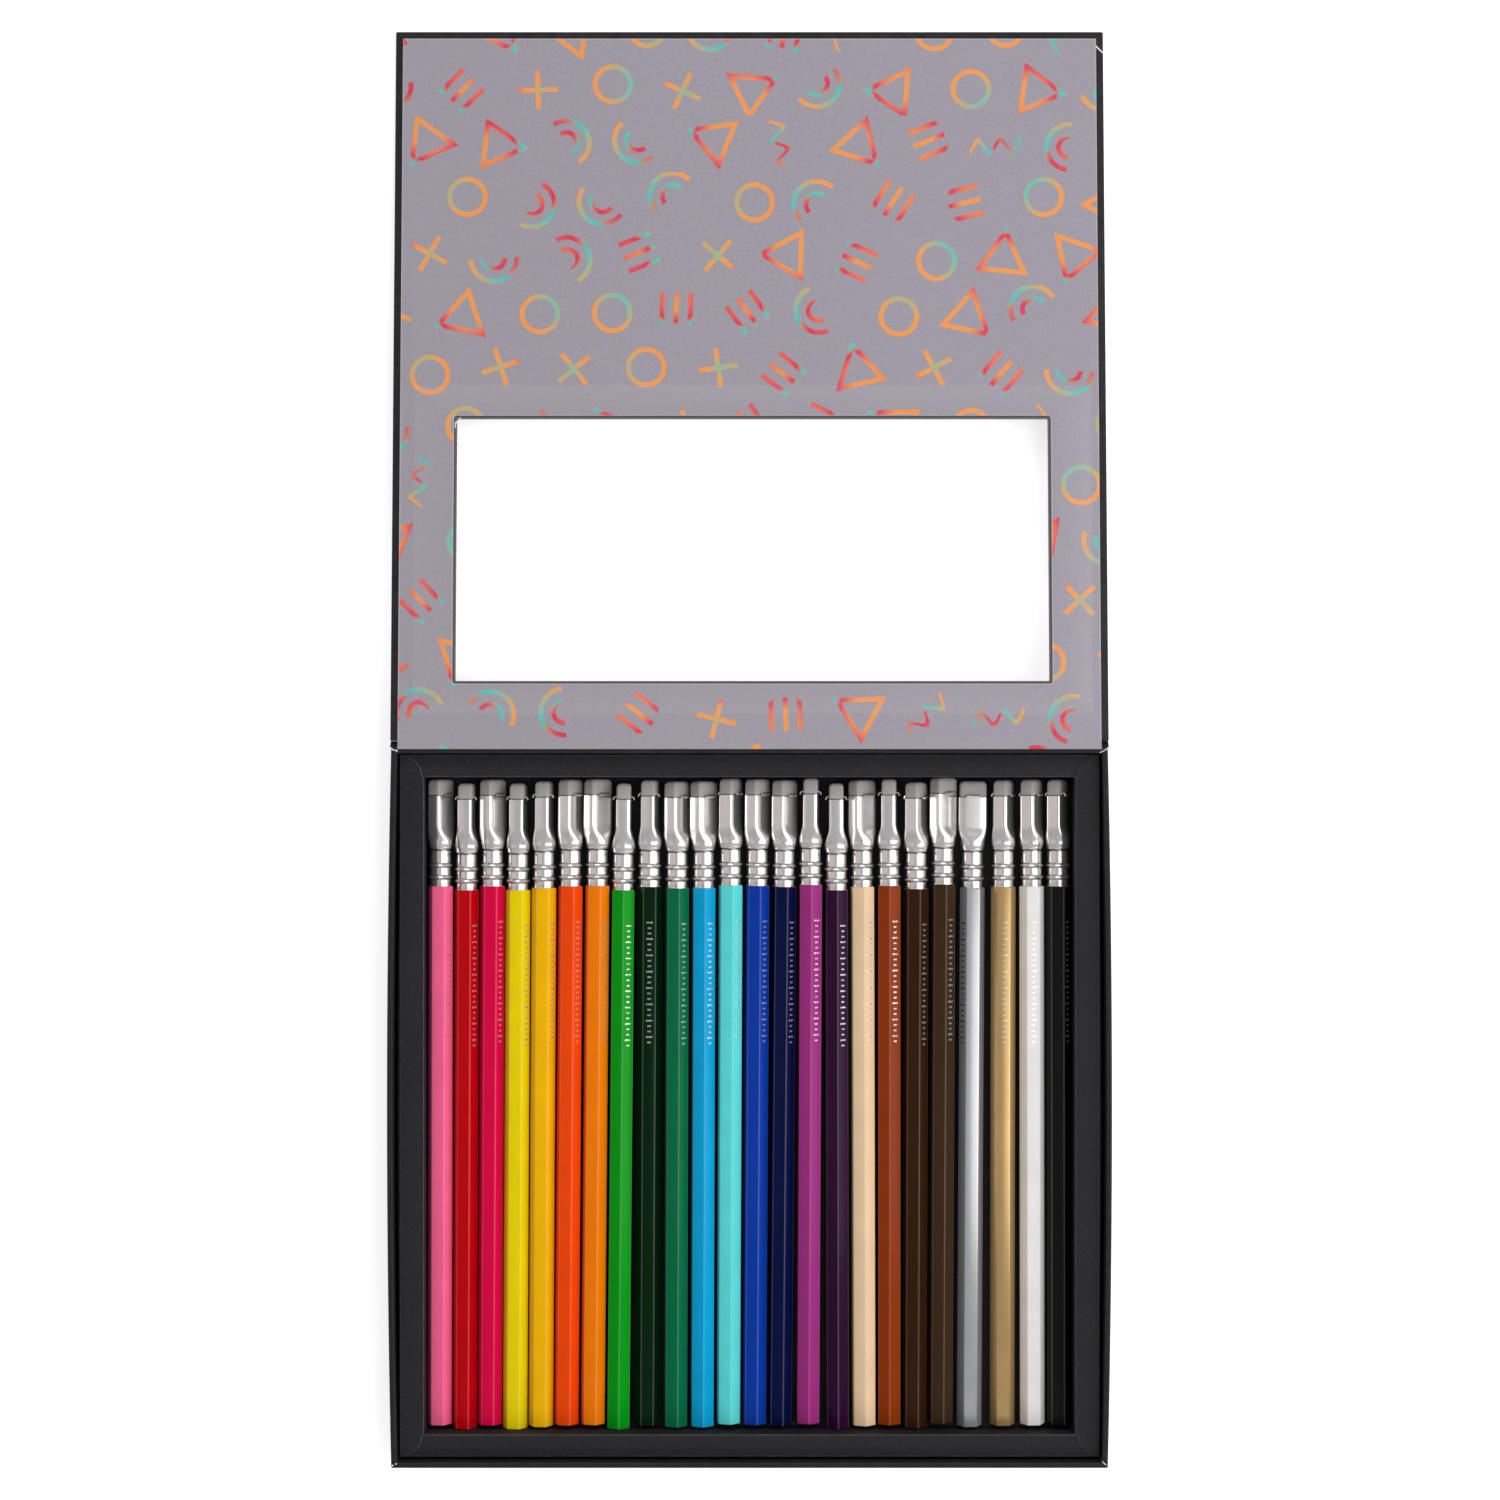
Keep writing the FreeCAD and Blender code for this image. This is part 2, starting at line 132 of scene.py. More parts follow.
def rounded_frame(x0, x1, y0, y1, radius, bow=0.0, steps=4, side_steps=1):
    """Rectangle with rounded corners as (x, y) points. Its left and right sides may bow out."""
    points = []
    for cx, cy, start in ((x1, y1, 0), (x0, y1, 90), (x0, y0, 180), (x1, y0, 270)):
        inward = (radius if cx == x0 else -radius, radius if cy == y0 else -radius)
        for k in range(steps + 1):
            turn = math.radians(start + 90 * k / steps)
            points.append((
                cx + inward[0] + radius * math.cos(turn),
                cy + inward[1] + radius * math.sin(turn),
            ))
        if cx == x0 and cy == y1 or cx == x1 and cy == y0:
            first = y1 - radius if cx == x0 else y0 + radius
            last = y0 + radius if cx == x0 else y1 - radius
            for k in range(1, side_steps):
                points.append((cx, first + (last - first) * k / side_steps))
    middle = (y0 + y1) / 2
    half = (y1 - y0) / 2
    return [(x + math.copysign(bow, x) * (1 - ((y - middle) / half) ** 2), y) for x, y in points]


print("a ring of the tray has", len(rounded_frame(-1, 1, -1, 1, 0.5, 0.1, 4, 16)), "points")


# %% [markdown]
# One helper turns points and faces into a piece of the scene: a mesh with its finish, riding on
# the body that moves it, and standing for the plain solid it covers. Faces meet softly where the
# surface turns a little and sharply where it turns a lot, as on the real thing.

# %% Make a piece
def piece(name, points, faces, finishes, body, replaces=(), marks=None, sharp=38):
    mesh = bpy.data.meshes.new(name)
    mesh.from_pydata([Vector(p) * MM for p in points], [], faces)
    for mark, values in (marks or {}).items():
        if isinstance(values[0], float):
            mesh.attributes.new(mark, "FLOAT", "POINT").data.foreach_set("value", values)
        else:
            flat = [v for row in values for v in row]
            mesh.attributes.new(mark, "FLOAT_VECTOR", "POINT").data.foreach_set("vector", flat)
    work = bmesh.new()
    work.from_mesh(mesh)
    bmesh.ops.recalc_face_normals(work, faces=work.faces)
    work.to_mesh(mesh)
    work.free()
    mesh.polygons.foreach_set("use_smooth", [True] * len(mesh.polygons))
    mesh.set_sharp_from_angle(angle=math.radians(sharp))
    for finish in finishes if isinstance(finishes, list) else [finishes]:
        mesh.materials.append(finish)
    obj = bpy.data.objects.new(name, mesh)
    bpy.context.scene.collection.objects.link(obj)
    if body:
        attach(obj, body)
    if replaces:
        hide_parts(*replaces)
    return obj


def folded_sheet(name, path, ring, finish, body, node, marks=None):
    """A loop of rings, one for each row of the path. A row ends with how rubbed it is there."""
    rings = [ring(*row[:-1]) for row in path]
    folds = [float(row[-1]) for row in path for _ in rings[0]]
    points, faces = skin(rings, "loop")
    piece(name, points, faces, finish, body, [node], {"fold": folds, **(marks or {})})
    print(name, "has", len(faces), "faces")


print("pieces can be made")


# %% [markdown]
# Finishes are shader nodes, and their sums read best as sums. The class below wraps a socket, so
# that `1 - mask` or `place * 2` adds the Math node that does it. Every other node comes from one
# method, which takes the node's type, its settings and what its sockets get.

# %% Shader maths
class Wire:
    """A socket's value that can be used in sums."""

    def __init__(self, tree, socket=None):
        self.tree = tree
        self.socket = socket

    def node(self, kind, settings=None, inputs=None, out=0):
        """Adds a node from its type, its settings, what its sockets get and the output to use."""
        made = self.tree.nodes.new("ShaderNode" + kind)
        for key, value in (settings or {}).items():
            if key == "stops":
                while len(made.color_ramp.elements) < len(value):
                    made.color_ramp.elements.new(0.5)
                for stop, (position, colour) in zip(made.color_ramp.elements, value):
                    stop.position = position
                    stop.color = colour
            else:
                setattr(made, key, value)
        for key, value in (inputs or {}).items():
            if isinstance(value, Wire):
                self.tree.links.new(value.socket, made.inputs[key])
            else:
                made.inputs[key].default_value = value
        return Wire(self.tree, made.outputs[out])

    def maths(self, operation, *values):
        return self.node("Math", {"operation": operation}, dict(enumerate(values)))

    def __add__(self, other):
        return self.maths("ADD", self, other)

    def __radd__(self, other):
        return self.maths("ADD", other, self)

    def __sub__(self, other):
        return self.maths("SUBTRACT", self, other)

    def __rsub__(self, other):
        return self.maths("SUBTRACT", other, self)

    def __mul__(self, other):
        return self.maths("MULTIPLY", self, other)

    def __rmul__(self, other):
        return self.maths("MULTIPLY", other, self)

    def __truediv__(self, other):
        return self.maths("DIVIDE", self, other)

    def __abs__(self):
        return self.maths("ABSOLUTE", self)

    def over(self, other):
        return self.maths("MAXIMUM", self, other)

    def under(self, other):
        return self.maths("MINIMUM", self, other)

    def above(self, other):
        """1 where this value is the greater one, and 0 elsewhere."""
        return self.maths("GREATER_THAN", self, other)

    def below(self, other):
        return self.maths("LESS_THAN", self, other)

    def root(self):
        return self.maths("SQRT", self)

    def floor(self):
        return self.maths("FLOOR", self)

    def fraction(self):
        return self.maths("FRACT", self)

    def clamped(self):
        return self.node("Clamp", {}, {0: self, 1: 0.0, 2: 1.0})

    def parts(self):
        made = self.node("SeparateXYZ", {}, {0: self}).socket.node
        return [Wire(self.tree, made.outputs[k]) for k in range(3)]

    def stored(self, name, out="Fac"):
        """What the mesh's points carry under this name."""
        return self.node("Attribute", {"attribute_name": name}, {}, out)

    def noise(self, scale, detail=2.0):
        return self.node("TexNoise", {}, {"Vector": self, "Scale": scale, "Detail": detail})

    def blended(self, low, high):
        """Colour from low, where this value is 0, to high, where it is 1."""
        return self.node("Mix", {"data_type": "RGBA"}, {0: self, 6: low, 7: high}, 2)

    def bumps(self, height_mm):
        relief = {"Strength": 1.0, "Distance": height_mm * MM, "Height": self}
        return self.node("Bump", {}, relief)


def new_finish(name):
    """A material and its place: a point on the object, in millimetres."""
    material = bpy.data.materials.new(name)
    material.use_nodes = True
    start = Wire(material.node_tree).node("TexCoord", {}, {}, "Object")
    place = start.node("VectorMath", {"operation": "SCALE"}, {0: start, "Scale": 1 / MM})
    return material, place


def finished(material, **sockets):
    """Fills the surface shader's sockets: base_color goes to Base Color, and so on."""
    shader = material.node_tree.nodes["Principled BSDF"]
    for key, value in sockets.items():
        words = ["IOR" if word == "ior" else word.capitalize() for word in key.split("_")]
        socket = shader.inputs[" ".join(words)]
        if isinstance(value, Wire):
            material.node_tree.links.new(value.socket, socket)
        else:
            socket.default_value = value
    return material


def paint(red, green, blue):
    """A colour picked on a screen, from 0 to 255, as the shader's linear values."""
    def linear(c):
        return c / 12.92 if c <= 0.04045 else ((c + 0.055) / 1.055) ** 2.4
    return (linear(red / 255), linear(green / 255), linear(blue / 255), 1.0)


print("black paper is", [round(c, 4) for c in paint(34, 34, 36)])


# %% [markdown]
# The covering paper is black, matt and a little toothy. Two things keep it from being a flat black:
# folds are rubbed paler, which a value stored on the mesh's fold points gives, and at a few corners
# the black is worn through to the white core of the paper. Each worn place is a short line, and
# how near a point is to a line is plain geometry.

# %% Black paper
WORN = [
    ((-108.3, 331.9), (-106.7, 330.4), 0.35),
    ((108.6, 332.4), (111.0, 330.0), 0.28),
    ((-110.9, 113.3), (-109.0, 113.3), 0.3),
    ((-110.8, 111.1), (-109.9, 110.6), 0.26),
    ((-109.4, 110.7), (-109.0, 110.3), 0.28),
    ((110.9, 111.2), (108.4, 109.9), 0.16),
    ((-110.6, -110.8), (-110.3, -110.5), 0.28),
    ((-109.4, -110.2), (-109.2, -110.0), 0.22),
    ((108.9, -109.2), (110.2, -110.4), 0.18),
    ((-91.6, 212.6), (-90.2, 214.2), 0.32),
    ((-91.7, 211.2), (-91.6, 213.0), 0.2),
]


def nearness(x, y, start, end, half_width):
    """1 on the line from start to end, falling to 0 at its half width."""
    run = (end[0] - start[0], end[1] - start[1])
    length = run[0] ** 2 + run[1] ** 2
    share = ((x - start[0]) * (run[0] / length) + (y - start[1]) * (run[1] / length)).clamped()
    dx = x - share * run[0] - start[0]
    dy = y - share * run[1] - start[1]
    away = (dx * dx + dy * dy).root()
    steep = 1.6
    return (steep - away * (steep / half_width)).clamped()


def black_paper(name, worn=True):
    material, place = new_finish(name)
    x, y, _ = place.parts()
    tooth = place.noise(2.4, 4.0)
    cloud = place.noise(0.05, 2.0)
    fold = place.stored("fold")
    rubbed = (fold * (place.noise(0.35, 3.0) - 0.25) * 0.55).clamped()
    base = (tooth * 0.5 + cloud * 0.5).clamped().blended(paint(20, 20, 22), paint(30, 29, 32))
    colour = rubbed.blended(base, paint(78, 77, 80))
    if worn:
        facing_up = place.node("TexCoord", {}, {}, "Normal").parts()[2]
        torn = place.noise(3.0, 3.0)
        white = None
        for start, end, half_width in WORN:
            line = nearness(x, y, start, end, half_width)
            white = line if white is None else white.over(line)
        white = ((white * (torn + 0.55) - 0.35) * 3.2).clamped()
        white = white * ((facing_up - 0.1) * 4).clamped()
        colour = white.blended(colour, paint(236, 236, 234))
    return finished(
        material, base_color=colour, roughness=0.68 - rubbed * 0.12, specular_ior_level=0.25,
        normal=tooth.bumps(0.02),
    )


cover_paper = black_paper("black_cover_paper")
plain_paper = black_paper("black_hinge_paper", worn=False)
print("worn places", len(WORN))


# %% [markdown]
# The tray's cover is one sheet folded over the board: in under the base, up the wall, over the rim
# and down inside. As a mesh it is a stack of rings that runs along that path and comes back one
# paper thickness further in. Board edges are cut square, and paper rounds them only a little.

# %% Tray cover
ROUND = 0.45
mid_round = ROUND * (1 - math.sqrt(0.5))
tray_corner = 0.5
least_corner = 0.12
side_steps = 18


def tray_ring(inset, z):
    outline = rounded_frame(
        -half_wide + inset, half_wide - inset, -half_deep + inset, half_deep - inset,
        max(tray_corner - inset * 0.2, least_corner), side_bow, side_steps=side_steps,
    )
    return [(px, py, z) for px, py in outline]


# (inset from the outline, height, how rubbed the paper is)
turned_under = 15.0
turned_in = rim_z - 13.0
rubbed_below_rim = 2.2
cover_path = [
    (turned_under, paper, 0), (ROUND, paper, 0), (mid_round, paper + mid_round, 1),
    (0, paper + ROUND, 0.3), (0, rim_z - rubbed_below_rim, 0), (0, rim_z - ROUND, 0.5),
    (mid_round, rim_z - mid_round, 1), (ROUND, rim_z, 0.7), (rim_thick / 2, rim_z, 0),
    (rim_thick - ROUND, rim_z, 0.6), (rim_thick - mid_round, rim_z - mid_round, 0.8),
    (rim_thick, rim_z - ROUND, 0.2), (rim_thick, turned_in, 0),
    (rim_thick - paper, turned_in, 0), (rim_thick - paper, rim_z - ROUND, 0),
    (rim_thick - ROUND, rim_z - paper, 0), (ROUND, rim_z - paper, 0), (paper, rim_z - ROUND, 0),
    (paper, 2 * paper + ROUND, 0), (ROUND, 2 * paper, 0), (turned_under, 2 * paper, 0),
]
folded_sheet(
    "tray_cover", cover_path, tray_ring, cover_paper, "tray", "tray_wrap",
)


# %% [markdown]
# The lid's cover goes round a flat board with a window in it, so its path starts on the turned-in
# flap inside, rounds the outer edge, crosses the outside to the window and comes back in through
# it. The ring changes from the lid's outline to the window's on the way, with as many points.

# %% Lid cover
liner_up = -0.25
film_low = liner_up - 2 * paper
board_up = film_low - paper
lid_thick = 1.8
lid_low = film_low - lid_thick
window_shift = 0.9
window_half = lid_half - 19.13
window_near = 20.8 - lid_near
window_deep = 82.1
window_far = window_near + window_deep
lid_turn_in = 15.0
window_turn_in = 11.0
lid_corner = 0.45


def round_window(border):
    """Left, right, near and far side of a rectangle that goes round the window."""
    return (
        window_shift - window_half - border, window_shift + window_half + border,
        window_near - border, window_far + border,
    )


def lid_ring(outset, up, window):
    sides = (-lid_half - outset, lid_half + outset, lid_near - outset, lid_far + outset)
    outline = rounded_frame(*(round_window(outset) if window else sides), lid_corner)
    return [on_lid(px, along, up) for px, along in outline]


# (outset from the outline, height, whether the outline is the window's, how rubbed)
lid_path = [
    (-lid_turn_in, film_low, False, 0), (-ROUND, film_low, False, 0.7),
    (-mid_round, film_low - mid_round, False, 1), (0, film_low - ROUND, False, 0.3),
    (0, lid_low + ROUND, False, 0.3), (-mid_round, lid_low + mid_round, False, 1),
    (-ROUND, lid_low, False, 0.5), (ROUND, lid_low, True, 0.3),
    (mid_round, lid_low + mid_round, True, 0.8), (0, lid_low + ROUND, True, 0.2),
    (0, film_low - ROUND, True, 0.2), (mid_round, film_low - mid_round, True, 0.8),
    (ROUND, film_low, True, 0.3), (window_turn_in, film_low, True, 0),
    (window_turn_in, board_up, True, 0), (ROUND, board_up, True, 0),
    (paper, board_up - paper, True, 0), (paper, lid_low + 2 * paper, True, 0),
    (ROUND, lid_low + paper, True, 0), (-ROUND, lid_low + paper, False, 0),
    (-paper, lid_low + 2 * paper, False, 0), (-paper, board_up - paper, False, 0),
    (-ROUND, board_up, False, 0), (-lid_turn_in, board_up, False, 0),
]
folded_sheet("lid_cover", lid_path, lid_ring, cover_paper, "lid", "lid_wrap")
print("lid runs from", round(lid_near, 2), "to", round(lid_far, 2), "mm behind the hinge line")


# %% [markdown]
# The liner's print is a scatter of small outline marks in warm and cool colours on grey-lilac.
# It is drawn in the shader: space is cut into staggered cells, each cell gets random numbers, and
# they pick the mark, its turn and its colours. The sheet's own coordinates are stored on the mesh,
# so that the print runs on over the hinge and follows the paper when the lid moves.

# %% Cells of the print
cell_wide = 22.5
cell_deep = 18.0
stray_wide = 4.5
stray_deep = 3.0


def scattered(sheet):
    """A place seen from the middle of its cell's mark, and two random numbers of that cell."""
    across, along, _ = sheet.parts()
    row = (along / cell_deep).floor()
    shifted = across / cell_wide + row.maths("PINGPONG", row, 1.0) * 0.5
    column = shifted.floor()
    cell = column.node("CombineXYZ", {}, {0: column, 1: row, 2: 3.7})
    chance = {"noise_dimensions": "3D"}
    pick = cell.node("TexWhiteNoise", chance, {"Vector": cell}, "Value")
    more = cell.node("TexWhiteNoise", chance, {"Vector": cell}, "Color").parts()
    dx = (shifted - column - 0.5) * cell_wide + (more[0] - 0.5) * stray_wide
    dy = (along / cell_deep - row - 0.5) * cell_deep + (more[1] - 0.5) * stray_deep
    turn = more[2] * math.tau
    cos = turn.maths("COSINE", turn)
    sin = turn.maths("SINE", turn)
    return dx * cos + dy * sin, dy * cos - dx * sin, pick, more[0]


print("cells of", cell_wide, "x", cell_deep, "mm")


# %% [markdown]
# A mark is a distance with its stroke taken off, so it is below 0 inside the line. A ring is where
# the distance to the middle is near its radius, and bars are joined with the smaller of two
# distances and cut short with the greater.

# %% Marks of the print
stroke = 0.78


def print_marks(u, v, far):
    ring = abs(far - 5.6) - stroke
    bar_length = 6.2
    bar = (abs(u) - stroke).over(abs(v) - bar_length)
    cross = bar.under((abs(v) - stroke).over(abs(u) - bar_length))
    triangle = abs((abs(u) * math.cos(math.radians(30)) + v * 0.5).over(v * -1) - 4.1) - stroke
    dashes = (abs(v).under(abs(abs(v) - 4.4)) - stroke).over(abs(u) - 5.2)
    arcs = (abs(far - 3.4).under(abs(far - 7.2)) - stroke).over(v * -1)
    bend = abs(v - (u * 0.9).maths("SINE", u * 0.9) * 2.0)
    wave = (bend - stroke * 1.15).over(abs(u) - 8.2)
    return [ring, cross, triangle, dashes, arcs, wave]


def liner_print():
    material, place = new_finish("liner_print")
    u, v, pick, chance = scattered(place.stored("sheet", "Vector"))
    far = (u * u + v * v).root()
    marks = print_marks(u, v, far)
    drawn = None
    for k, mark in enumerate(marks):
        turn = pick * len(marks) - k
        inked = (0.5 - mark * 5).clamped() * (turn.above(0.0) * turn.below(1.0))
        drawn = inked if drawn is None else drawn + inked
    ramp = (chance + far * 0.05 + u * 0.03).fraction()
    ink = ramp.node("ValToRGB", {"stops": [
        (0.0, paint(85, 186, 186)), (0.14, paint(120, 188, 170)), (0.26, paint(186, 172, 122)),
        (0.38, paint(238, 156, 84)), (0.62, paint(238, 150, 82)), (0.76, paint(230, 108, 92)),
        (0.9, paint(214, 50, 88)), (1.0, paint(190, 150, 120)),
    ]}, {0: ramp})
    grain = place.noise(1.1, 3.0)
    ground = grain.blended(paint(150, 144, 153), paint(164, 159, 168))
    printed = drawn.clamped().blended(ground, ink)
    colour = (place.stored("fold") * 0.55).blended(printed, paint(222, 220, 224))
    return finished(
        material, base_color=colour, roughness=0.5, specular_ior_level=0.3,
        normal=grain.bumps(0.008),
    )


print_paper = liner_print()
print("the print has", len(print_paper.node_tree.nodes), "nodes")


# %% [markdown]
# The liner is glued to the board and, over the window's film, lies a little higher. So its top has
# a soft step round the film. It stops short of the lid's edge and of the window's.

# %% Liner
liner_border = 2.3
liner_half = lid_half - liner_border
reveal = 0.9
lip = 0.4
film_step = 0.7
film_half = window_half + 12.9
film_near = window_near - 10.0
film_far = window_far + 10.0
liner_on_board = -0.37
liner_back = -0.51
LINER_OUTLINES = {
    "edge": (-liner_half, liner_half, lid_near, lid_far - liner_border),
    "inside": (-liner_half + lip, liner_half - lip, lid_near + 0.2, lid_far - liner_border - lip),
    "foot": (
        window_shift - film_half - film_step, window_shift + film_half + film_step,
        film_near - film_step, film_far + film_step,
    ),
    "step": (window_shift - film_half, window_shift + film_half, film_near, film_far),
    "lip": round_window(reveal + lip),
    "window": round_window(reveal),
}


def liner_ring(kind, up):
    radius = 0.9 if kind in ("window", "lip") else 0.3
    return [(px, along, up) for px, along in rounded_frame(*LINER_OUTLINES[kind], radius)]


liner_under = liner_up - paper + 0.01
# (outline, height, how rubbed)
liner_path = [
    ("edge", liner_on_board, 0.8), ("inside", liner_on_board, 0), ("foot", liner_on_board, 0),
    ("step", liner_up, 0.12), ("lip", liner_up, 0), ("window", liner_up, 0.8),
    ("window", liner_under, 0.8), ("step", liner_under, 0), ("foot", liner_back, 0),
    ("edge", liner_back, 0.8),
]
sheet = [(p[0], p[1], 0.0) for kind, up, _ in liner_path for p in liner_ring(kind, up)]
folded_sheet(
    "liner", liner_path, lambda kind, up: [on_lid(*p) for p in liner_ring(kind, up)],
    print_paper, "lid", "lid_liner", {"sheet": sheet},
)
print("liner is", round(2 * liner_half, 1), "mm wide")


# %% [markdown]
# Two strips make the hinge. Inside, the liner runs on over the space to the rim's edge. Outside, a
# black strip is glued up the wall and under the lid. Both cross the joint.

# %% Hinge strips
def across_hinge(name, path, half, finish, node):
    """Strip along the hinge with the given section, as (y, z) points."""
    count = 24
    xs = [-half + 2 * half * k / count for k in range(count + 1)]
    points, faces = skin([[(px, py, pz) for py, pz in path] for px in xs])
    sheet = [(p[0], p[1] - hinge_y, 0.0) for p in points]
    marks = {"sheet": sheet, "fold": [0.0] * len(points)}
    obj = piece(name, points, faces, finish, None, [node], marks)
    rim_z * MM
    rim_z * MM
    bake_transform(obj)


def lid_point(along, up):
    return on_lid(0, along, up)[1:]


hair = 0.01
on_rim = 0.45
overlap = 0.3
flap_low = liner_back - hair
flap_high = liner_on_board + hair
flap_path = [
    (half_deep - on_rim, rim_z + hair), (half_deep, rim_z + hair), lid_point(lid_near, flap_low),
    lid_point(lid_near + overlap, flap_low), lid_point(lid_near + overlap, flap_high),
    lid_point(lid_near, flap_high), (half_deep, rim_z + paper),
    (half_deep - 0.3, rim_z + paper), (half_deep - on_rim, rim_z + 0.1),
]
across_hinge(
    "liner_hinge_flap", flap_path, liner_half, print_paper, "liner_flap",
)
glued = 12.0
strip_low = lid_low - paper
strip_path = [
    (half_deep, rim_z - glued), (half_deep + paper, rim_z - glued),
    (half_deep + paper, rim_z - 0.8), lid_point(lid_near, strip_low),
    lid_point(lid_near + glued, strip_low), lid_point(lid_near + glued, lid_low),
    lid_point(lid_near, lid_low), (half_deep, rim_z - 0.5),
]
across_hinge(
    "outer_hinge_strip", strip_path, lid_half, plain_paper, "hinge_strip",
)


# %% [markdown]
# The insert is one sheet of black card, scored and folded: floor, walls, flanges and outer skirts.
# The side flanges lie over the end flanges, and their ends are cut to a quarter round. A folded
# card edge is never sharp, so each fold is a small curve of three rings.

# %% Insert
def black_card():
    material, place = new_finish("black_card")
    fleck = place.noise(2.8, 2.0)
    cloud = place.noise(0.06, 3.0)
    specks = ((place.noise(1.7, 1.0) - 0.66) * 14).clamped()
    base = (fleck * 0.6 + cloud * 0.4).clamped().blended(paint(22, 21, 23), paint(38, 36, 39))
    base = (specks * 0.4).blended(base, paint(76, 72, 70))
    fold = place.stored("fold")
    rubbed = (fold * (place.noise(0.3, 3.0) + 0.1)).clamped()
    colour = rubbed.blended(base, paint(122, 118, 119))
    return finished(
        material, base_color=colour, roughness=0.68, specular_ior_level=0.25,
        normal=fleck.bumps(0.02),
    )


card_finish = black_card()
card = 0.5
side_flange = 7.5
end_flange = 7.0
insert_low, insert_high = box_mm("insert_card")
well_side = insert_high.x - side_flange
well_near = insert_low.y + end_flange
well_far = insert_high.y - end_flange
card_floor = insert_low.z + card
flange_top = insert_high.z - card
print("well", round(2 * well_side, 1), "x", round(well_far - well_near, 1))


# %% [markdown]
# Floor, walls, end flanges and skirts make one stack of rings: from the middle of each wall's foot
# up into the flange, out to the fold and down the skirt, then back underneath.

# %% Floor, walls, end flanges and skirts
def card_ring(inset, z, well):
    if well:
        outline = rounded_frame(
            -well_side - inset, well_side + inset, well_near - inset, well_far + inset,
            0.15, steps=2,
        )
    else:
        outline = rounded_frame(
            insert_low.x + inset, insert_high.x - inset,
            insert_low.y + inset, insert_high.y - inset, 0.2, steps=2,
        )
    return [(px, py, z) for px, py in outline]


# (inset, height, whether the outline is the well's, how rubbed)
card_path = [
    (-0.25, card_floor, True, 0), (0, card_floor + 0.25, True, 0), (0, flange_top - 0.5, True, 0),
    (0.12, flange_top - 0.12, True, 0.4), (0.3, flange_top, True, 0.2),
    (0.6, flange_top, True, 0), (0.4, flange_top, False, 0),
    (0.12, flange_top - 0.12, False, 0.6), (0, flange_top - 0.4, False, 0),
    (0, insert_low.z, False, 0), (card, insert_low.z, False, 0),
    (card, flange_top - card, False, 0), (card, flange_top - card, True, 0),
    (card, insert_low.z, True, 0),
]
rings = [card_ring(*row[:3]) for row in card_path]
points, faces = skin(rings)
folds = [float(row[3]) for row in card_path for _ in rings[0]]
print("folded part of the insert has", len(faces), "faces")


# %% [markdown]
# A side flange is a plate with two quarter-round ends. Its layers draw in towards its own middle as
# they rise, which rounds the cut edge.

# %% Side flanges
lap = end_flange
lap_middle = insert_high.x - 3.7
lap_half_wide = 3.0
lap_half_long = 100.0
arc = [math.radians(90 * k / 12) for k in range(13)]
far_end = [(insert_high.x - lap * math.sin(t), well_far + lap * math.cos(t)) for t in arc]
near_end = [(insert_high.x - lap * math.sin(t), well_near - lap * math.cos(t)) for t in arc]
lap_outline = far_end + [(well_side, well_far), (well_side, well_near)] + near_end[::-1]
# (how far drawn in, height, how rubbed)
lap_layers = [
    (0, flange_top - 0.45, 0), (0, insert_high.z - 0.22, 0.3), (0.07, insert_high.z - 0.06, 0.9),
    (0.18, insert_high.z, 0.15), (0.36, insert_high.z, 0),
]


def lap_ring(side, amount, z):
    ring = []
    for px, py in lap_outline:
        dx = max(-1, min(1, (px - lap_middle) / lap_half_wide)) * amount
        dy = max(-1, min(1, py / lap_half_long)) * amount
        ring.append((side * (px - dx), py - dy, z))
    return ring


for side in (-1, 1):
    lap_points, lap_faces = skin([lap_ring(side, amount, z) for amount, z, _ in lap_layers])
    faces += [tuple(i + len(points) for i in face) for face in lap_faces]
    points += lap_points
    folds += [float(row[2]) for row in lap_layers for _ in lap_outline]
piece(
    "folded_card_insert", points, faces, card_finish, "tray", ["insert_card"],
    {"fold": folds},
)
print("insert has", len(faces), "faces with its side flanges")


# %% [markdown]
# The board, the tape at its corners, the base sheet and the film keep the solids they have, since
# a square-cut board is a square-cut board. They only need their finishes.

# %% Board, tape, base sheet and film
def fibre(name, dark, light, grain):
    material, place = new_finish(name)
    x, y, z = place.parts()
    stretched = place.node("CombineXYZ", {}, {0: x, 1: y * 0.25, 2: z * 3})
    mottle = stretched.noise(grain, 4.0)
    return finished(
        material, base_color=mottle.blended(dark, light), roughness=0.8, normal=mottle.bumps(0.03),
    )


def clear_film():
    material, place = new_finish("clear_window_film")
    scuffs = ((place.noise(0.9, 4.0) - 0.62) * 6).clamped()
    return finished(
        material, base_color=paint(246, 248, 250), alpha=0.07 + scuffs * 0.03, roughness=0.1,
        specular_ior_level=0.5,
    )


greyboard = fibre("greyboard", paint(112, 108, 100), paint(150, 146, 137), 1.2)
kraft_tape = fibre("kraft_tape", paint(150, 118, 80), paint(182, 150, 108), 1.5)
for node, finish in (
    ("tray_board", greyboard), ("lid_board", greyboard), ("corner_stays", kraft_tape),
    ("base_sheet", plain_paper), ("window_film", clear_film()),
):
    solid = frame["nodes"][node].data
    if solid.materials:
        for k in range(len(solid.materials)):
            solid.materials[k] = finish
    else:
        solid.materials.append(finish)
print("five solids have finishes")


# %% [markdown]
# Where a pencil lies is read from its solid: the middle of its bare end, the tip of its eraser and
# how far each is rolled. The hexagon's roll comes from its corners: six times its angle is the same
# for every corner, so their average divided by six is the roll. Two times does it for the head.

